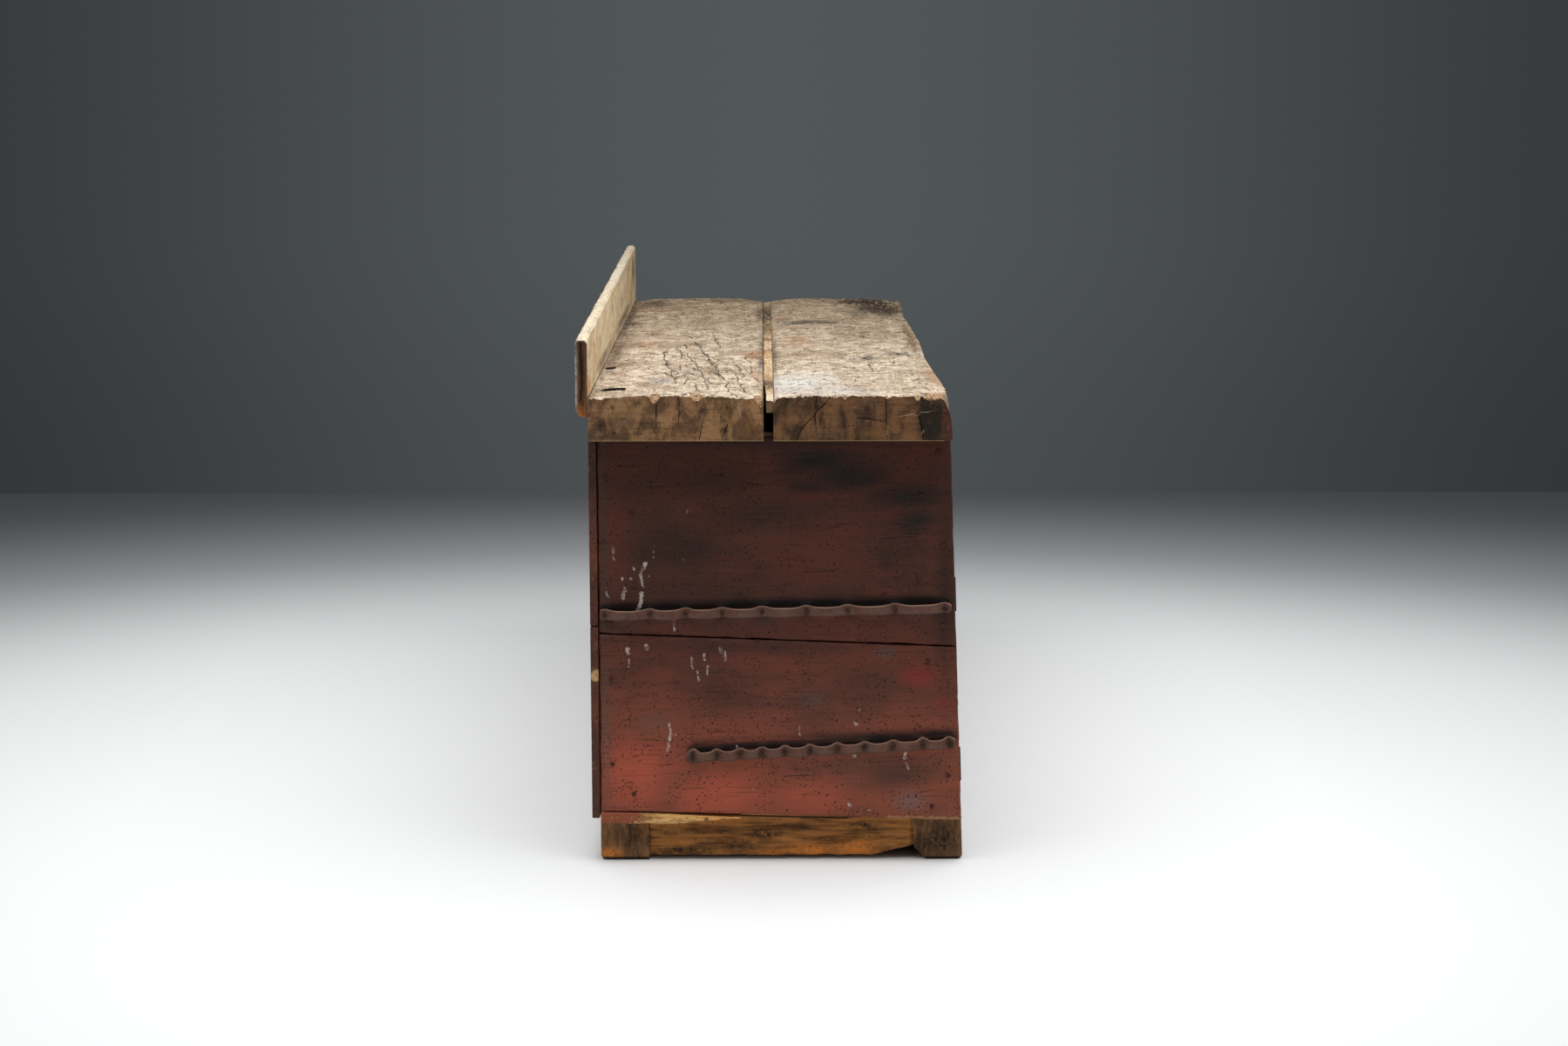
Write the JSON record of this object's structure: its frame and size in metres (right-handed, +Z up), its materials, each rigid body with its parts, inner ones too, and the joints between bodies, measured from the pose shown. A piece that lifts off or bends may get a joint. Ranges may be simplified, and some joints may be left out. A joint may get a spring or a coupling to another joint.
{
  "type": "workbench",
  "caption": "Painted wooden workbench with a thick plank top, an upstand along the back, leather tool straps on one end, and drawers and cupboard doors in front.",
  "frame": {"origin": "on the floor, under the middle of the whole bench", "axes": "+X along the bench from the strap end to the far end, -Y out of the front with its drawers and doors, +Z up"},
  "size_m": [1.9, 0.6942, 0.976],
  "materials": {
    "worn_planks": "grey-tan working surface, stained and scarred, dark end grain",
    "upstand_wood": "grey-brown sawn board, dark end grain",
    "bare_pine": "bare pale wood",
    "end_paint": "dark red-brown painted boards, worn and spattered",
    "back_paint": "dark red-brown painted boards",
    "front_paint": "dark red-brown painted wood, worn at the edges",
    "base_wood": "dark unpainted wood, worn orange at the feet",
    "inside_wood": "bare aged wood",
    "turned_wood": "turned and handled wood, slightly polished",
    "old_leather": "dry dark leather, scuffed edges",
    "old_iron": "hand-forged iron, dark and slightly rusty"
  },
  "bodies": {
    "bench": {"plank_back": "worn_planks", "plank_front": "worn_planks", "plank_gap_batten": "bare_pine", "upstand": "upstand_wood", "post_front_left": "base_wood", "post_front_right": "base_wood", "post_back_left": "base_wood", "post_back_right": "base_wood", "post_front_middle": "front_paint", "post_back_middle": "inside_wood", "rail_end_bottom_left": "base_wood", "rail_end_bottom_right": "base_wood", "rail_end_top_left": "inside_wood", "rail_end_top_right": "inside_wood", "rail_front_bottom": "front_paint", "rail_front_top": "front_paint", "drawer_rails": "front_paint", "rail_back_bottom": "inside_wood", "rail_back_top": "inside_wood", "bearer_top_middle": "inside_wood", "bearer_floor_middle": "inside_wood", "drawer_runners": "inside_wood", "drawer_kickers": "inside_wood", "floor_boards": "inside_wood", "tenon_pegs": "bare_pine", "end_board_upper_left": "end_paint", "end_board_lower_left": "end_paint", "end_board_upper_right": "end_paint", "end_board_lower_right": "end_paint", "split_strip": "end_paint", "back_board_upper": "back_paint", "back_board_lower": "back_paint", "end_board_nails": "old_iron", "back_nails": "old_iron", "tool_strap_upper": "old_leather", "tool_strap_lower": "old_leather", "tool_strap_nails": "old_iron", "hinge_frame_leaves": "old_iron", "turn_button_screw": "old_iron"},
    "drawer_left": {"drawer_left_front": "front_paint", "drawer_left_sides": "inside_wood", "drawer_left_back": "inside_wood", "drawer_left_bottom": "inside_wood", "drawer_left_knob": "turned_wood"},
    "drawer_right": {"drawer_right_front": "front_paint", "drawer_right_sides": "inside_wood", "drawer_right_back": "inside_wood", "drawer_right_bottom": "inside_wood", "drawer_right_knob": "turned_wood"},
    "door_left": {"door_left_boards": "front_paint", "door_left_ledges": "inside_wood", "door_left_nails": "old_iron", "door_left_hinge_leaves": "old_iron", "door_left_knob": "turned_wood"},
    "door_right": {"door_right_boards": "front_paint", "door_right_ledges": "inside_wood", "door_right_nails": "old_iron", "door_right_hinge_leaves": "old_iron", "door_right_knob": "turned_wood"},
    "turn_button": {"turn_button": "turned_wood"}
  },
  "joints": [
    {"name": "drawer_left_slide", "type": "slide", "parent": "bench", "child": "drawer_left", "axis": [0, -1, 0], "range_m": [0, 0.4]},
    {"name": "drawer_right_slide", "type": "slide", "parent": "bench", "child": "drawer_right", "axis": [0, -1, 0], "range_m": [0, 0.4]},
    {"name": "door_left_hinge", "type": "hinge", "parent": "bench", "child": "door_left", "pos_m": [-0.801, -0.33551, 0.10313], "axis": [0, -0.0376, -0.9993], "range_deg": [0, 170]},
    {"name": "door_right_hinge", "type": "hinge", "parent": "bench", "child": "door_right", "pos_m": [0.801, -0.33551, 0.10313], "axis": [0, 0.0376, 0.9993], "range_deg": [0, 170]},
    {"name": "turn_button_pivot", "type": "hinge", "parent": "bench", "child": "turn_button", "pos_m": [0, -0.32403, 0.315], "axis": [0, -0.9993, 0.0376], "range_deg": [0, 90]}
  ]
}
